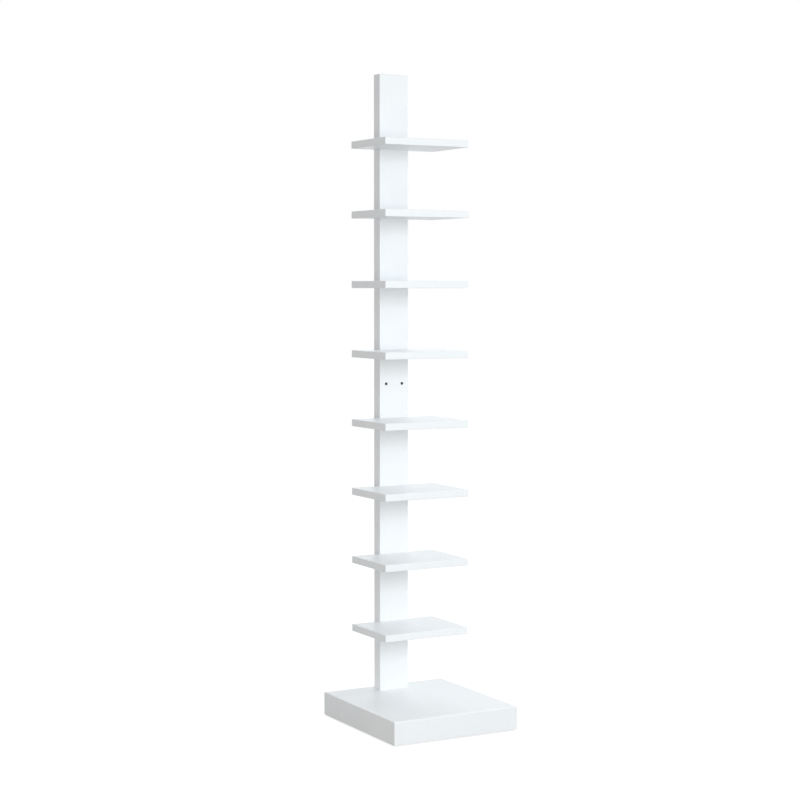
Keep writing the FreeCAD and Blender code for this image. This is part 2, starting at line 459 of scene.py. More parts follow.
@dataclass(frozen=True)
class Metal(Finish):
    """Machined metal with a skin that rubs through on its edges."""

    skin: Colour
    blotch: Colour
    bare: Colour
    skin_metal: float
    roughness: float
    wear: float
    scratch_roughness: float = 0.24
    scratch_depth: float = 1.2e-5
    wear_reach: float = 0.0003
    wear_breaks: float = 0.8

    def surface(self, graph: Graph) -> Pattern:
        """Draws the metal.

        Args:
            graph: The material's graph.

        Returns:
            The shader's inputs and the height of the surface in metres.
        """
        grain = graph.effect(machined_grain(), {"Depth": self.scratch_depth})
        worn = graph.effect(arris_wear_and_highlight(), {"Reach": self.wear_reach, "Breaks": self.wear_breaks})["Mask"]
        rubbed = graph.maths("MULTIPLY", worn, self.wear)
        colour = graph.blend(grain["Blotch"], self.skin, self.blotch)
        colour = graph.blend(rubbed, colour, self.bare)
        metal = graph.spread(rubbed, 0.0, 1.0, self.skin_metal, 1.0)
        smoothest = self.roughness - self.scratch_roughness / 2
        rough = graph.maths("MULTIPLY_ADD", grain["Scratch"], self.scratch_roughness, smoothest)
        return {"Base Color": colour, "Roughness": rough, "Metallic": metal}, grain["Height"]


@dataclass(frozen=True)
class Felt(Finish):
    """Pressed wool felt."""

    pale: Colour = (0.42, 0.405, 0.385, 1.0)
    dark: Colour = (0.24, 0.23, 0.22, 1.0)
    fibre_height: float = 1.6e-4
    pill_size: float = 0.0016
    smoothest: float = 0.88
    roughest: float = 1.0
    sheen: float = 0.35
    sheen_roughness: float = 0.5

    def surface(self, graph: Graph) -> Pattern:
        """Draws the felt.

        Args:
            graph: The material's graph.

        Returns:
            The shader's inputs and the height of the surface in metres.
        """
        fibre = graph.effect(pressed_fibre(), {"Fibre": self.fibre_height})
        pills = graph.noise(self.pill_size, detail=3.0, rough=0.7)
        shade = graph.maths("MULTIPLY_ADD", pills, 0.5, graph.maths("MULTIPLY", fibre["Shade"], 0.5))
        rough = graph.spread(shade, 0.0, 1.0, self.smoothest, self.roughest)
        colour = graph.blend(shade, self.dark, self.pale)
        nap = {"Sheen Weight": self.sheen, "Sheen Roughness": self.sheen_roughness}
        return {"Base Color": colour, "Roughness": rough, **nap}, fibre["Height"]


class Finishes:
    """The materials of this bookshelf, each made once: one for each plain slot, and a board's layers."""

    def __init__(self) -> None:
        """Builds every material."""
        face = Lacquer("white_lacquer_face")
        edge = Lacquer("white_lacquer_edge", roughness=0.4, roughness_spread=0.06, peel_depth=1.3e-5)
        black = Metal(
            "black_oxide_steel", skin=(0.022, 0.022, 0.022, 1.0), blotch=(0.0424, 0.04, 0.0376, 1.0),
            bare=(0.42, 0.42, 0.42, 1.0), skin_metal=0.55, roughness=0.42, wear=0.55,
        )
        brass = Metal(
            "turned_brass", skin=(0.66, 0.47, 0.2, 1.0), blotch=(0.55, 0.37, 0.14, 1.0),
            bare=(0.8, 0.62, 0.32, 1.0), skin_metal=1.0, roughness=0.3, wear=0.5,
        )
        self.plain = {
            Slot.RAW_BOARD: RawBoard("raw_fibre_board").material(),
            Slot.BLACK_STEEL: black.material(),
            Slot.BRASS_INSERT: brass.material(),
            Slot.FELT: Felt("grey_felt").material(),
        }
        self.board = [face.material(), edge.material(), self.plain[Slot.RAW_BOARD]]


# ---------------- modelling


def deselect() -> None:
    """Goes to object mode with nothing selected."""
    active = bpy.context.view_layer.objects.active
    if active is not None and active.mode != "OBJECT":
        bpy.ops.object.mode_set(mode="OBJECT")
    bpy.ops.object.select_all(action="DESELECT")


def extrude(shift: Triple) -> None:
    """Draws out what is selected in edit mode."""
    bpy.ops.mesh.extrude_region_move(TRANSFORM_OT_translate={"value": shift})


def middle(low: Vector, high: Vector) -> Vector:
    """Middle of a box."""
    return (low + high) / 2


def near(first: float, second: float) -> bool:
    """Says whether two lengths are the same."""
    return abs(first - second) < TOUCH


def upright(first: Vector, second: Vector) -> bool:
    """Says whether the edge between two ends runs straight up."""
    return near(first.x, second.x) and near(first.y, second.y)


def at_level(height: float) -> Rule:
    """Gives a rule for the edges that lie level at a height."""
    return lambda first, second: near(first.z, height) and near(second.z, height)


def shelf_boxes() -> dict[int, Box]:
    """Lowest and highest corner of each shelf by its number, from the top shelf down."""
    return {number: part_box(f"shelf_{number}") for number in range(1, SHELF_COUNT + 1)}


def both_axes(node: str, width: float, way: Vector, start: float) -> list[Vector]:
    """Finds the axes of a node's left and right fitting.

    Args:
        node: The construction node that holds both.
        width: Width of one fitting.
        way: The way that the axes run.
        start: How far along them the points lie.

    Returns:
        A point on each axis.
    """
    low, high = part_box(node)
    centre = middle(low, high)
    point = centre - way * centre.dot(way) + way * start
    aside = Vector((high.x - width / 2, 0, 0))
    return [point - aside, point + aside]


def dress(thing: bpy.types.Object, materials: Sequence[Material]) -> None:
    """Gives an object its materials in place of any it had.

    Args:
        thing: The object.
        materials: The materials in the order of their slots.
    """
    thing.data.materials.clear()
    for material in materials:
        thing.data.materials.append(material)


class Piece:
    """A mesh object and the steps that model it, done with Blender's operators."""

    def __init__(self, name: str) -> None:
        """Takes up the object that the last operator made.

        Args:
            name: Name of the object and of its mesh.
        """
        self.object = bpy.context.object
        self.object.name = name
        self.object.data.name = name
        self.set_down()

    def hold(self) -> None:
        """Selects this piece alone and makes it active."""
        deselect()
        self.object.select_set(True)
        bpy.context.view_layer.objects.active = self.object

    def set_down(self) -> None:
        """Puts the piece's place, turn and scale into its mesh."""
        self.hold()
        bpy.ops.object.transform_apply(location=True, rotation=True, scale=True)

    def discard(self) -> None:
        """Takes the piece out of the scene."""
        bpy.data.objects.remove(self.object)

    @classmethod
    def block(cls, name: str, low: Vector, high: Vector) -> Self:
        """Makes a box.

        Args:
            name: Name of the piece.
            low: Lowest corner.
            high: Highest corner.

        Returns:
            The box.
        """
        deselect()
        bpy.ops.mesh.primitive_cube_add(size=1, location=middle(low, high), scale=high - low)
        return cls(name)

    @classmethod
    def turned(cls, name: str, rings: Rings, sides: int = 48) -> Self:
        """Makes a round or many-sided solid about +Z, drawn up ring by ring.

        Args:
            name: Name of the piece.
            rings: Height and radius of each ring.
            sides: Corners of each ring.

        Returns:
            The solid.
        """
        deselect()
        height, radius = rings[0]
        bpy.ops.mesh.primitive_circle_add(
            vertices=sides, radius=radius, fill_type="NGON", location=(0, 0, height)
        )
        piece = cls(name)
        with piece.editing():
            for (height, radius), (next_height, next_radius) in pairwise(rings):
                extrude((0, 0, next_height - height))
                ratio = next_radius / radius
                bpy.ops.transform.resize(value=(ratio, ratio, 1))
            bpy.ops.mesh.select_all(action="SELECT")
            bpy.ops.mesh.normals_make_consistent(inside=False)
        return piece

    @classmethod
    def thread(cls, root: float, crest: float, pitch: float, ridge: Triple, length: float) -> Self:
        """Winds a ridge round +Z into a closed screw thread.

        Args:
            root: Radius between the ridge's turns.
            crest: Radius of the ridge.
            pitch: Rise of one turn.
            ridge: Shares of the pitch at which the ridge is up, starts down and is down.
            length: Height that the thread passes by the spare turns or a little more.

        Returns:
            The thread, which starts at height 0.
        """
        turns = math.ceil(length / pitch) + SPARE_TURNS
        rise, fall, foot = (share * pitch for share in ridge)
        outline = [(root, 0.0), (crest, rise), (crest, fall), (root, foot), (root, pitch)]
        deselect()
        bpy.ops.mesh.primitive_plane_add(size=pitch, location=(root, 0, -pitch))
        piece = cls("thread")
        with piece.editing(Pick.CORNERS):
            bpy.ops.mesh.merge(type="CENTER")
            for (radius, height), (next_radius, next_height) in pairwise(outline):
                extrude((next_radius - radius, 0, next_height - height))
        winding = piece.object.modifiers.new("winding", "SCREW")
        winding.screw_offset = pitch
        winding.iterations = turns + 1
        winding.steps = winding.render_steps = THREAD_STEPS
        winding.use_merge_vertices = True
        winding.merge_threshold = SAME_CORNER
        piece.apply(winding)
        piece.slice_off(Vector(), -UP)
        piece.slice_off(UP * pitch * turns, UP)
        piece.tidy()
        return piece

    @contextmanager
    def editing(self, kind: Pick = Pick.FACES) -> Iterator[None]:
        """Goes to edit mode, with all of the piece selected, for the steps in its block.

        Args:
            kind: What is selected.
        """
        self.hold()
        bpy.ops.object.mode_set(mode="EDIT")
        bpy.ops.mesh.select_mode(type=kind.value)
        bpy.ops.mesh.select_all(action="SELECT")
        yield
        bpy.ops.object.mode_set(mode="OBJECT")

    def pick(self, wanted: Rule, kind: Pick = Pick.FACES) -> None:
        """Selects only some faces or edges while editing.

        Args:
            wanted: Says whether the face with this centre and normal is, or the edge with these ends.
            kind: Whether faces or edges are selected.
        """
        bpy.ops.mesh.select_all(action="DESELECT")
        mesh = bmesh.from_edit_mesh(self.object.data)
        if kind is Pick.FACES:
            found = [face for face in mesh.faces if wanted(face.calc_center_median(), face.normal)]
        else:
            found = [edge for edge in mesh.edges if wanted(*(corner.co for corner in edge.verts))]
        if not found:
            raise ValueError(f"{self.object.name} has nothing to pick there")
        for part in found:
            part.select_set(True)
        bmesh.update_edit_mesh(self.object.data)

    def round_edges(self, radius: float, steps: int, wanted: Rule) -> None:
        """Rounds edges.

        Args:
            radius: Radius of the rounding.
            steps: Flats that make it up.
            wanted: Says whether the edge between these two ends is rounded.
        """
        with self.editing(Pick.EDGES):
            self.pick(wanted, Pick.EDGES)
            bpy.ops.mesh.bevel(offset=radius, segments=steps, affect="EDGES", clamp_overlap=False)

    def slice_off(self, point: Vector, normal: Vector) -> None:
        """Cuts away what lies on one side of a plane, and closes the cut.

        Args:
            point: A point on the plane.
            normal: Points to the side that goes.
        """
        with self.editing():
            bpy.ops.mesh.bisect(
                plane_co=point, plane_no=normal, use_fill=True, clear_outer=True, threshold=SAME_CORNER
            )

    def apply(self, modifier: bpy.types.Modifier) -> None:
        """Makes a modifier's result permanent."""
        self.hold()
        bpy.ops.object.modifier_apply(modifier=modifier.name)

    def combine(self, other: Self, merge: Merge) -> None:
        """Joins, cuts or overlaps this piece with another, which is then thrown away.

        Args:
            other: The piece that shapes this one.
            merge: What is done.
        """
        step = self.object.modifiers.new("merge", "BOOLEAN")
        step.operation = merge.value
        step.solver = "EXACT"
        step.object = other.object
        self.apply(step)
        other.discard()

    def aim(self, point: Vector, direction: Vector) -> Self:
        """Moves a piece that was made about +Z.

        Args:
            point: Where its origin goes.
            direction: Where its +Z points.

        Returns:
            The piece.
        """
        self.object.rotation_euler = UP.rotation_difference(direction).to_euler()
        self.object.location = point
        self.set_down()
        return self

    def copy(self, name: str, shift: Sequence[float] = (0, 0, 0)) -> "Piece":
        """Copies the piece with a mesh of its own.

        Args:
            name: Name of the copy.
            shift: How far the copy moves.

        Returns:
            The copy.
        """
        self.hold()
        bpy.ops.object.duplicate(linked=False)
        bpy.context.object.location = shift
        return Piece(name)

    def tidy(self) -> None:
        """Merges doubled corners and turns every face outwards."""
        with self.editing():
            bpy.ops.mesh.remove_doubles(threshold=SAME_CORNER)
            bpy.ops.mesh.normals_make_consistent(inside=False)

    def polish(self) -> None:
        """Shades the roundings smoothly and keeps the flats flat."""
        self.tidy()
        bpy.ops.object.shade_smooth_by_angle(angle=SMOOTH_ANGLE)
        weighted = self.object.modifiers.new("weighted", "WEIGHTED_NORMAL")
        weighted.mode = "FACE_AREA"
        weighted.weight = 100
        weighted.keep_sharp = True
        self.apply(weighted)

    def present(self, node: str, slot: Slot) -> None:
        """Lets the finished piece stand for its construction node.

        Args:
            node: The construction node that it stands for.
            slot: The record's material slot; not used.
        """
        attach(self.object, "root")
        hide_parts(node)
        LOG.info("%s: %d faces, for %s", self.object.name, len(self.object.data.polygons), node)


def join(name: str, pieces: Sequence[Piece]) -> Piece:
    """Makes one piece of several separate solids.

    Args:
        name: Name of the result.
        pieces: The solids.

    Returns:
        The joined piece.
    """
    pieces[0].hold()
    for piece in pieces:
        piece.object.select_set(True)
    bpy.ops.object.join()
    return Piece(name)


# ---------------- fittings


@dataclass(frozen=True)
class Fastener:
    """Screw or bolt with a flat round head, turned by a hexagonal key."""

    shank: float
    root: float
    pitch: float
    neck: float
    length: float
    head: float
    head_height: float
    key: float
    key_depth: float
    rim: float
    point: float
    ridge: Triple = (0.38, 0.5, 0.88)
    rim_steps: int = 4
    tip_slope: float = 1.6
    fade: float = 0.0003
    clearance: float = 0.00025
    mouth: float = 0.0003

    def head_rings(self) -> Rings:
        """Rings of the head and the neck, from the head's outer face.

        Returns:
            Height and radius of each ring, with the head's seat at height 0.
        """
        radius = self.head / 2
        turns = (math.radians(90 * step / self.rim_steps) for step in range(self.rim_steps + 1))
        rim = [
            (self.rim * (1 - math.cos(turn)) - self.head_height, radius - self.rim * (1 - math.sin(turn)))
            for turn in turns
        ]
        seat_rim = self.rim / 3
        return rim + [
            (-seat_rim, radius),
            (0.0, radius - seat_rim),
            (0.0, self.shank / 2),
            (self.neck, self.shank / 2),
            (self.neck + LEAD_IN, self.root / 2 - self.fade),
        ]

    def thread(self) -> Piece:
        """Makes the threaded length of the shank.

        Returns:
            The thread, tapered at its tip.
        """
        root, crest = self.root / 2, self.shank / 2
        thread = Piece.thread(root, crest, self.pitch, self.ridge, self.length)
        rings = [
            (self.neck - LEAD_IN, root - self.fade),
            (self.neck + self.pitch, crest + TRIM),
            (self.length - self.tip_slope * self.point, crest + TRIM),
            (self.length, crest - self.point),
        ]
        thread.combine(Piece.turned("limits", rings), Merge.OVERLAP)
        return thread

    def model(self) -> Piece:
        """Makes one fastener.

        Returns:
            The fastener, with its seat at the origin, pointing up.
        """
        body = Piece.turned("fastener", self.head_rings())
        top = -self.head_height
        corner = self.key / math.sqrt(3)
        flare, pit = corner + LEAD_IN, self.key / 8
        rings = [
            (top - MOUTH_OVERRUN, flare + MOUTH_OVERRUN),
            (top, flare),
            (top + LEAD_IN, corner),
            (top + self.key_depth, corner),
            (top + self.key_depth + LEAD_IN, pit),
        ]
        body.combine(Piece.turned("socket", rings, sides=6), Merge.CUT)
        body.combine(self.thread(), Merge.JOIN)
        return body

    def bore(self, depth: float, end: float) -> Piece:
        """Makes the cutter of the counterbore and the shank's clearance hole.

        Args:
            depth: Depth of the counterbore.
            end: How deep the clearance hole goes.

        Returns:
            The cutter, entering at the origin and pointing up.
        """
        wide, narrow = self.head / 2 + self.clearance, self.shank / 2 + self.clearance
        mouth = [(-MOUTH_OVERRUN, wide + self.mouth + MOUTH_OVERRUN), (self.mouth, wide)]
        return Piece.turned("bore", mouth + [(depth, wide), (depth, narrow), (end, narrow)])


CONNECTING_SCREW = Fastener(
    shank=0.007, root=0.0046, pitch=0.003, neck=0.011, length=0.046, head=0.010, head_height=0.004,
    key=0.004, key_depth=0.003, rim=0.0005, point=0.0016,
)
SPLICE_BOLT = Fastener(
    shank=0.004, root=0.0032, pitch=0.0007, neck=0.006, length=0.025, head=0.007, head_height=0.004,
    key=0.003, key_depth=0.0025, rim=0.0004, point=0.0004,
)


@dataclass
class Fittings:
    """Screws, bolts, sleeves and pads."""

    finishes: Finishes
    pad_size: float = 0.020
    pad_corner: float = 0.002
    pad_corner_steps: int = 5
    pad_arris: float = 0.0004
    pad_arris_steps: int = 2
    sleeve_bore: float = 0.0042
    sleeve_root: float = 0.0066
    sleeve_pitch: float = 0.0015
    sleeve_ridge: Triple = (0.3, 0.42, 0.8)
    sleeve_entry: float = 0.0008
    sleeve_point: float = 0.0012

    def build(self) -> None:
        """Builds every fitting."""
        self.shelf_screws()
        self.foot_screws()
        self.splice_bolts()
        self.splice_sleeves()
        self.pads()

    def _set(
        self, name: str, node: str, slot: Slot, one: Piece, points: Sequence[Vector], way: Vector
    ) -> None:
        """Sets a copy of one fitting at every point, to stand for their construction node.

        Args:
            name: Name of the joined copies.
            node: The construction node.
            slot: Its material slot.
            one: The fitting, made about +Z.
            points: Where its origin goes.
            way: Where it points.
        """
        one.polish()
        copies = [one.copy(f"{name}_{k}").aim(point, way) for k, point in enumerate(points)]
        one.discard()
        piece = join(name, copies)
        dress(piece.object, [self.finishes.plain[slot]])
        piece.present(node, slot)

    def shelf_screws(self) -> None:
        """Builds one screw for each shelf, driven from the spine's back."""
        screw = CONNECTING_SCREW
        low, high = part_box("shelf_screws")
        x, seat = middle(low, high).x, high.y - screw.head_height
        points = [Vector((x, seat, middle(*box).z)) for box in shelf_boxes().values()]
        self._set("black_shelf_screws", "shelf_screws", Slot.BLACK_STEEL, screw.model(), points, -BACK)

    def foot_screws(self) -> None:
        """Builds the two screws that come up into the spine's foot."""
        screw = CONNECTING_SCREW
        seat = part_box("foot_screws")[0].z + screw.head_height
        points = both_axes("foot_screws", screw.head, UP, seat)
        self._set("black_foot_screws", "foot_screws", Slot.BLACK_STEEL, screw.model(), points, UP)

    def splice_bolts(self) -> None:
        """Builds the two bolts that clamp the lap in the spine."""
        bolt = SPLICE_BOLT
        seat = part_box("splice_bolts")[0].y + bolt.head_height
        points = both_axes("splice_bolts", bolt.head, BACK, seat)
        self._set("black_splice_bolts", "splice_bolts", Slot.BLACK_STEEL, bolt.model(), points, BACK)

    def splice_sleeves(self) -> None:
        """Builds the brass sleeves that the splice bolts screw into."""
        low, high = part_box("splice_inserts")
        width, length = high.z - low.z, high.y - low.y
        root, crest = self.sleeve_root / 2, width / 2
        sleeve = Piece.thread(root, crest, self.sleeve_pitch, self.sleeve_ridge, length)
        wide = crest + TRIM
        rings = [(0.0, root), (self.sleeve_entry, wide), (length - self.sleeve_point, wide)]
        limits = Piece.turned("limits", rings + [(length, root - TRIM)])
        sleeve.combine(limits, Merge.OVERLAP)
        inner = self.sleeve_bore / 2
        mouth = inner + LEAD_IN + MOUTH_OVERRUN
        rings = [(-MOUTH_OVERRUN, mouth), (LEAD_IN, inner), (length - LEAD_IN, inner)]
        bore = Piece.turned("bore", rings + [(length + MOUTH_OVERRUN, mouth)])
        sleeve.combine(bore, Merge.CUT)
        points = both_axes("splice_inserts", width, BACK, low.y)
        self._set("brass_splice_sleeves", "splice_inserts", Slot.BRASS_INSERT, sleeve, points, BACK)

    def pads(self) -> None:
        """Builds the four felt pads under the base."""
        low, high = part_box("base_pads")
        corner = Vector((low.x + self.pad_size, low.y + self.pad_size, high.z))
        pad = Piece.block("pad", low, corner)
        pad.round_edges(self.pad_corner, self.pad_corner_steps, upright)
        for level in (low.z, high.z):
            pad.round_edges(self.pad_arris, self.pad_arris_steps, at_level(level))
        shifts = product((0, high.x - corner.x), (0, high.y - corner.y))
        pads = join("felt_base_pads", [pad.copy("pad_copy", (x, y, 0)) for x, y in shifts])
        pad.discard()
        pads.polish()
        dress(pads.object, [self.finishes.plain[Slot.FELT]])
        pads.present("base_pads", Slot.FELT)


# ---------------- boards


@dataclass
class Boards:
    """Boards with lacquered faces and edges, raw where they are cut."""

    finishes: Finishes

    def layer(self, place: Vector, normal: Vector) -> Layer:
        """Gives the material of the face with this centre and normal."""
        raise NotImplementedError

    def lacquer(self, board: Piece) -> None:
        """Polishes a board and gives each face its material.

        Args:
            board: The board.
        """
        board.polish()
        dress(board.object, self.finishes.board)
        for face in board.object.data.polygons:
            face.material_index = int(self.layer(face.center, face.normal))

    def finish(self, board: Piece, node: str) -> None:
        """Lacquers a board that stands for a construction node."""
        self.lacquer(board)
        board.present(node, Slot.WHITE_LACQUER)


@dataclass
class Shelves(Boards):
    """Eight alike boards that stand out from the spine."""

    arris: float = 0.0012
    arris_steps: int = 4
    pilot: float = 0.0036
    pilot_sides: int = 32
    pilot_end: float = 0.0005
    pilot_point: float = 0.001
    pilot_tip: float = 0.0002

    def __post_init__(self) -> None:
        """Takes the first shelf's corners from the frame."""
        self.low, self.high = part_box("shelf_1")

    def build(self) -> None:
        """Builds one shelf and copies it to every level."""
        shelf = Piece.block("shelf", self.low, self.high)
        shelf.round_edges(self.arris, self.arris_steps, lambda start, end: True)
        depth = self.high.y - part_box("shelf_screws")[0].y + self.pilot_end
        rings = [(-OVERRUN, self.pilot), (depth, self.pilot), (depth + self.pilot_point, self.pilot_tip)]
        centre = middle(self.low, self.high)
        mouth = Vector((centre.x, self.high.y, centre.z))
        shelf.combine(Piece.turned("pilot", rings, self.pilot_sides).aim(mouth, -BACK), Merge.CUT)
        self.lacquer(shelf)
        for number, (there, _) in shelf_boxes().items():
            copy = shelf.copy(f"white_shelf_{number}", there - self.low)
            copy.present(f"shelf_{number}", Slot.WHITE_LACQUER)
        shelf.discard()

    def layer(self, place: Vector, normal: Vector) -> Layer:
        """Finish of a face: broad faces, sawn edges and the drilled hole differ.

        Args:
            place: Centre of the face.
            normal: The way that it faces.

        Returns:
            The layer.
        """
        gaps = [*(place - self.low), *(self.high - place)]
        if abs(normal.z) > FACING and min(gaps[2], gaps[5]) < TOUCH:
            return Layer.LACQUERED_FACE
        return Layer.LACQUERED_EDGE if min(gaps) < self.arris + TOUCH else Layer.RAW


@dataclass
class Spine(Boards):
    """The upright board in two halves that lap behind the middle bay."""

    arris: float = 0.002
    arris_steps: int = 6
    end_arris: float = 0.001
    end_arris_steps: int = 3
    seam: float = 0.00025
    recess: float = 0.005
    breakthrough: float = 0.004
    sleeve_hole: float = 0.0041
    thread_hole: float = 0.0036
    blind_end: float = 0.0005

    def __post_init__(self) -> None:
        """Takes the corners of both halves and the lap's plane from the frame."""
        self.upper_low, self.upper_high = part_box("upper_spine")
        self.lower_low, self.lower_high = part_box("lower_spine")
        self.lap_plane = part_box("splice_inserts")[0].y

    def build(self) -> None:
        """Builds both halves."""
        self.finish(self._upper(), "upper_spine")
        self.finish(self._lower(), "lower_spine")

    def _tongue(self, half: Piece, shoulder: float, tip: float, rear: bool) -> None:
        """Draws a lap tongue out of an end of a half and softens the half's arrises and seam.

        Args:
            half: The half.
            shoulder: Height of the end that the tongue grows from.
            tip: Height that it grows to.
            rear: True for the tongue behind the lap's plane.
        """
        side = 1 if rear else -1
        with half.editing():
            bpy.ops.mesh.bisect(plane_co=(0, self.lap_plane, 0), plane_no=BACK)
            half.pick(lambda spot, normal: near(spot.z, shoulder) and side * (spot.y - self.lap_plane) > 0)
            extrude((0, 0, tip - shoulder))
            bpy.ops.mesh.select_all(action="SELECT")
            bpy.ops.mesh.dissolve_limited(angle_limit=FLAT_ANGLE)
        width = self.upper_high.x

        def is_arris(first: Vector, second: Vector) -> bool:
            """Says whether an edge is one of the four long arrises."""
            outer = near(first.y, self.upper_low.y) or near(first.y, self.upper_high.y)
            return outer and upright(first, second) and near(abs(first.x), width)

        def is_seam(first: Vector, second: Vector) -> bool:
            """Says whether an edge is on the outside of the seam, whose inner corner stays sharp.

            Args:
                first: One end of the edge.
                second: Its other end.

            Returns:
                True where it is.
            """
            if upright(first, second):
                return near(first.y, self.lap_plane) and near(abs(first.x), width)
            inner = near(first.y, self.lap_plane) and near(second.y, self.lap_plane)
            if inner and near(first.z, shoulder):
                return False
            return at_level(shoulder)(first, second) or at_level(tip)(first, second)

        half.round_edges(self.arris, self.arris_steps, is_arris)
        half.round_edges(self.seam, 1, is_seam)

    def _upper(self) -> Piece:
        """Builds the upper half, with its tongue in front of the lap's plane.

        Returns:
            The half.
        """
        shoulder = self.lower_high.z
        low = Vector((self.upper_low.x, self.upper_low.y, shoulder))
        half = Piece.block("white_upper_spine", low, self.upper_high)
        self._tongue(half, shoulder, self.upper_low.z, rear=False)
        half.round_edges(self.end_arris, self.end_arris_steps, at_level(self.upper_high.z))
        for box in shelf_boxes().values():
            if box[0].z > self.upper_low.z:
                self._house(half, box, box[1].z)
                self._drill_shelf(half, box)
        for mouth in both_axes("splice_bolts", SPLICE_BOLT.head, BACK, self.upper_low.y):
            bore = SPLICE_BOLT.bore(self.recess, self.lap_plane - mouth.y + OVERRUN)
            half.combine(bore.aim(mouth, BACK), Merge.CUT)
        return half

    def _lower(self) -> Piece:
        """Builds the lower half, with its tongue behind the lap's plane and its foot.

        Returns:
            The half.
        """
        shoulder = self.upper_low.z
        high = Vector((self.lower_high.x, self.lower_high.y, shoulder))
        half = Piece.block("white_lower_spine", self.lower_low, high)
        self._tongue(half, shoulder, self.lower_high.z, rear=True)
        for box in shelf_boxes().values():
            level = box[1].z
            if level < shoulder + TOUCH:
                self._house(half, box, level + OVERRUN if near(level, shoulder) else level)
            if level < self.lower_high.z + TOUCH:
                self._drill_shelf(half, box)
        low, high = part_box("splice_inserts")
        for mouth in both_axes("splice_inserts", high.z - low.z, BACK, self.lap_plane):
            self._drill(half, self.sleeve_hole, high.y - low.y, mouth, BACK)
        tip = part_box("foot_screws")[1].z
        for mouth in both_axes("foot_screws", CONNECTING_SCREW.head, UP, self.lower_low.z):
            self._drill(half, self.thread_hole, tip - mouth.z, mouth, UP)
        return half

    def _drill(self, half: Piece, radius: float, depth: float, mouth: Vector, way: Vector) -> None:
        """Drills a blind hole into a half from its mouth, a little deeper than its fitting goes."""
        drill = Piece.turned("drill", [(-OVERRUN, radius), (depth + self.blind_end, radius)])
        half.combine(drill.aim(mouth, way), Merge.CUT)

    def _house(self, half: Piece, board: Box, top: float) -> None:
        """Cuts the groove that a shelf's rear edge is let into.

        Args:
            half: The half.
            board: Lowest and highest corner of the shelf.
            top: Height of the groove's top.
        """
        low = Vector((self.upper_low.x - OVERRUN, self.upper_low.y - OVERRUN, board[0].z))
        high = Vector((self.upper_high.x + OVERRUN, board[1].y, top))
        half.combine(Piece.block("groove", low, high), Merge.CUT)

    def _drill_shelf(self, half: Piece, board: Box) -> None:
        """Drills the counterbored hole of a shelf's screw from the back into its groove.

        Args:
            half: The half.
            board: Lowest and highest corner of the shelf.
        """
        mouth = Vector((0, self.upper_high.y, middle(*board).z))
        bore = CONNECTING_SCREW.bore(self.recess, mouth.y - board[1].y + self.breakthrough)
        half.combine(bore.aim(mouth, -BACK), Merge.CUT)

    def layer(self, place: Vector, normal: Vector) -> Layer:
        """Finish of a face of either half.

        Args:
            place: Centre of the face.
            normal: The way that it faces.

        Returns:
            The layer.
        """
        depth = min(place.y - self.upper_low.y, self.upper_high.y - place.y)
        if depth < self.seam + TOUCH and abs(normal.y) > FACING:
            return Layer.LACQUERED_FACE
        if self.upper_high.x - abs(place.x) < self.arris or self.upper_high.z - place.z < self.end_arris:
            return Layer.LACQUERED_EDGE
        return Layer.RAW


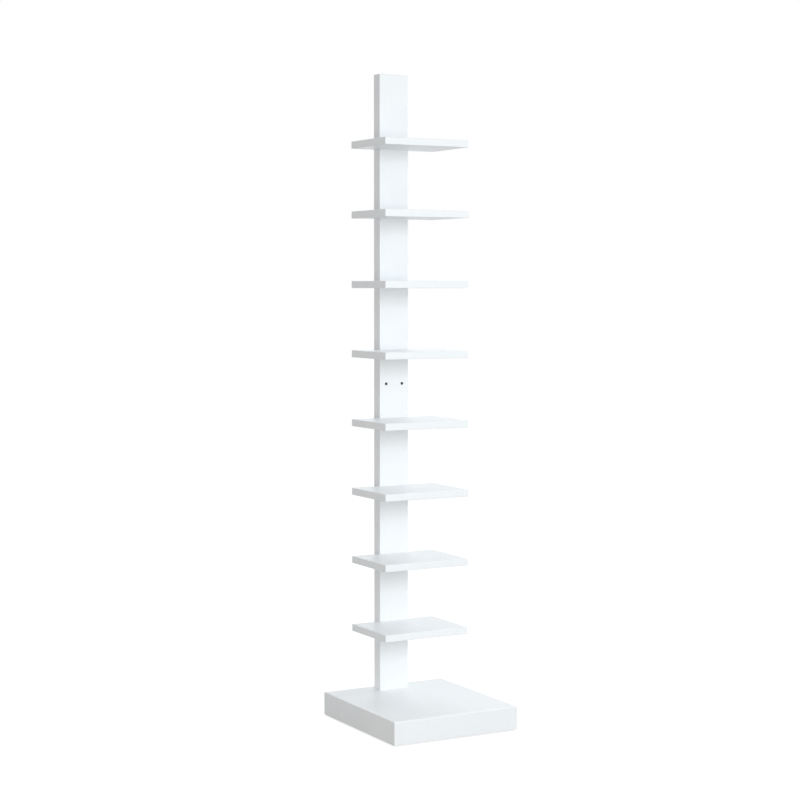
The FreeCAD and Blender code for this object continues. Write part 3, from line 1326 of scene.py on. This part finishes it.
@dataclass
class Base(Boards):
    """The slab that the bookshelf stands on: mitred boards round a core."""

    arris: float = 0.002
    arris_steps: int = 6
    core: tuple[str, ...] = (
        "base_bottom_panel", "base_left_core_rib", "base_right_core_rib", "base_socket_block",
    )

    def __post_init__(self) -> None:
        """Takes the slab's planes from the frame."""
        panel_low, panel_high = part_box("base_top_panel")
        bottom_low, self.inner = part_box("base_bottom_panel")
        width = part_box("base_right_rail")[1].x
        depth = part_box("base_back_rail")[1].y
        self.low = Vector((-width, -depth, bottom_low.z))
        self.high = Vector((width, depth, panel_high.z))
        self.panel_bottom = panel_low.z

    def build(self) -> None:
        """Builds the top panel and the rails, and dresses the core."""
        slab = Piece.block("slab", self.low, self.high)
        slab.round_edges(
            self.arris, self.arris_steps, lambda start, end: near(max(start.z, end.z), self.high.z)
        )
        self._top_panel(slab)
        for side in Side:
            self._rail(slab, side)
        slab.discard()
        for node in self.core:
            dress(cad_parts[node], [self.finishes.plain[Slot.RAW_BOARD]])
            LOG.info("%s: construction shape, raw board", node)

    @staticmethod
    def _reach(way: Vector, corner: Vector) -> Vector:
        """Goes from the middle in a level direction as far as a corner lies that way."""
        return way * (abs(way.x) * corner.x + abs(way.y) * corner.y)

    def _top_panel(self, slab: Piece) -> None:
        """Builds the top panel.

        Args:
            slab: The slab's outer form.
        """
        panel = slab.copy("white_base_top")
        for side in Side:
            panel.slice_off(self._reach(side.way, self.high) + UP * self.high.z, side.way - UP)
        panel.slice_off(UP * self.panel_bottom, -UP)
        foot_low, foot_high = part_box("lower_spine")
        low = Vector((foot_low.x, foot_low.y, self.panel_bottom - OVERRUN))
        high = Vector((foot_high.x, foot_high.y, self.high.z + OVERRUN))
        panel.combine(Piece.block("slot", low, high), Merge.CUT)
        self.finish(panel, "base_top_panel")

    def _rail(self, slab: Piece, side: Side) -> None:
        """Builds one rail.

        Args:
            slab: The slab's outer form.
            side: The rail's side.
        """
        name, way = side.name.lower(), side.way
        rail = slab.copy(f"white_base_{name}_rail")
        across = UP.cross(way)
        for neighbour in (across, -across):
            corner = self._reach(way, self.high) + self._reach(neighbour, self.high)
            rail.slice_off(corner, neighbour - way)
        rail.slice_off(self._reach(way, self.inner), -way)
        rail.combine(self._panel_space(), Merge.CUT)
        self.finish(rail, f"base_{name}_rail")

    def _panel_space(self) -> Piece:
        """Makes the cutter for the space of the top panel.

        Returns:
            A block that widens upwards at 45 degrees.
        """
        depth = self.high.z - self.panel_bottom
        low = Vector((-self.high.x + depth, -self.high.y + depth, self.panel_bottom))
        top = self.high.z + OVERRUN
        space = Piece.block("panel_space", low, Vector((-low.x, -low.y, top)))
        wide = depth + OVERRUN
        with space.editing():
            space.pick(lambda place, normal: near(place.z, top))
            bpy.ops.transform.resize(value=(1 - wide / low.x, 1 - wide / low.y, 1))
        return space

    def layer(self, place: Vector, normal: Vector) -> Layer:
        """Finish of a face of the slab's outer boards, which are raw below and where they meet."""
        depth = min(self.high.x - abs(place.x), self.high.y - abs(place.y), self.high.z - place.z)
        return Layer.LACQUERED_FACE if depth < self.arris else Layer.RAW


# ---------------- studio


@dataclass(frozen=True)
class Lamp:
    """Soft square lamp."""

    name: str
    place: Triple
    target: Triple
    size: float
    power: float
    colour: Triple

    def hang(self) -> None:
        """Adds the lamp to the scene."""
        data = bpy.data.lights.new(self.name, "AREA")
        data.size = self.size
        data.energy = self.power
        data.color = self.colour
        lamp = bpy.data.objects.new(self.name, data)
        lamp.location = self.place
        way = Vector(self.target) - Vector(self.place)
        lamp.rotation_euler = way.to_track_quat("-Z", "Y").to_euler()
        bpy.context.scene.collection.objects.link(lamp)


@dataclass(frozen=True)
class Studio:
    """Pale floor, soft lamps and the camera."""

    location: Triple = (-2.2805, -4.0431, 1.1129)
    heading: float = -28.827
    tilt: float = 3.575
    lens: float = 83.15
    sensor: float = 36.0
    farthest: float = 100.0
    floor_size: float = 40.0
    floor_colour: Colour = (0.4, 0.4, 0.4, 1.0)
    floor_glow: float = 0.78
    ambient: Colour = (0.586, 0.594, 0.603, 1.0)
    lamps: tuple[Lamp, ...] = (
        Lamp("key", (0, -3.94, 1.495), (0, 0, 0.8), 1.6, 74.0, (0.93, 0.98, 1.0)),
        Lamp("fill", (-2.12, -2.12, 0.405), (0, 0, 0.3), 1.2, 17.7, (1.0, 0.9, 0.78)),
        Lamp("side", (2.72, 0, 2.068), (0, 0, 0.8), 1.6, 34.0, (0.965, 0.983, 1.0)),
        Lamp("back", (1.732, 3.0, 2.8), (0, 0, 0.8), 1.6, 15.5, (0.84, 0.93, 1.0)),
    )

    def build(self) -> None:
        """Sets up the whole studio."""
        self._floor()
        self._world()
        for lamp in self.lamps:
            lamp.hang()
        self._camera()
        bpy.context.scene.view_settings.view_transform = "Standard"

    def _camera(self) -> None:
        """Adds the camera."""
        data = bpy.data.cameras.new("camera")
        data.lens = self.lens
        data.sensor_width = self.sensor
        data.clip_end = self.farthest
        camera = bpy.data.objects.new("camera", data)
        camera.location = self.location
        camera.rotation_euler = (math.radians(90 - self.tilt), 0, math.radians(self.heading))
        bpy.context.scene.collection.objects.link(camera)
        bpy.context.scene.camera = camera

    @staticmethod
    def _seen(graph: Graph) -> Socket:
        """Finds where the camera looks straight, in a reflection or through glass.

        Args:
            graph: The graph that needs it.

        Returns:
            1 there and 0 elsewhere.
        """
        path = graph.add("ShaderNodeLightPath").outputs
        straight = graph.maths("MAXIMUM", path["Is Camera Ray"], path["Is Glossy Ray"])
        return graph.maths("MAXIMUM", straight, path["Is Transmission Ray"])

    def _world(self) -> None:
        """Sets up the even light, and the white that the camera sees."""
        world = bpy.data.worlds.new("studio")
        bpy.context.scene.world = world
        world.use_nodes = True
        graph = Graph(world.node_tree)
        colour = graph.blend(self._seen(graph), self.ambient, WHITE)
        light = graph.add("ShaderNodeBackground", {"Color": colour, "Strength": 1.0})
        graph.add("ShaderNodeOutputWorld", {"Surface": light.outputs[0]})

    def _floor(self) -> None:
        """Adds the floor, white to the camera except for the bookshelf's shadow."""
        deselect()
        bpy.ops.mesh.primitive_plane_add(size=self.floor_size, location=(0, 0, 0))
        floor = Piece("floor").object
        material = bpy.data.materials.new("pale_floor")
        material.use_nodes = True
        graph = Graph(material.node_tree)
        paper = graph.add("ShaderNodeBsdfDiffuse", {"Color": self.floor_colour}).outputs[0]
        glow = graph.add("ShaderNodeEmission", {"Color": WHITE, "Strength": self.floor_glow})
        lit = graph.add("ShaderNodeAddShader", {0: paper, 1: glow.outputs[0]})
        shown = graph.add("ShaderNodeMixShader", {0: self._seen(graph), 1: paper, 2: lit.outputs[0]})
        graph.add("ShaderNodeOutputMaterial", {"Surface": shown.outputs[0]})
        dress(floor, [material])


def main() -> None:
    """Builds the finishes, the bookshelf and the studio, in that order."""
    logging.basicConfig(level=logging.INFO, format="%(name)s %(message)s")
    finishes = Finishes()
    for assembly in (Base(finishes), Spine(finishes), Shelves(finishes), Fittings(finishes)):
        LOG.info("building %s", type(assembly).__name__)
        assembly.build()
    Studio().build()
    deselect()


if __name__ == "__main__":
    main()
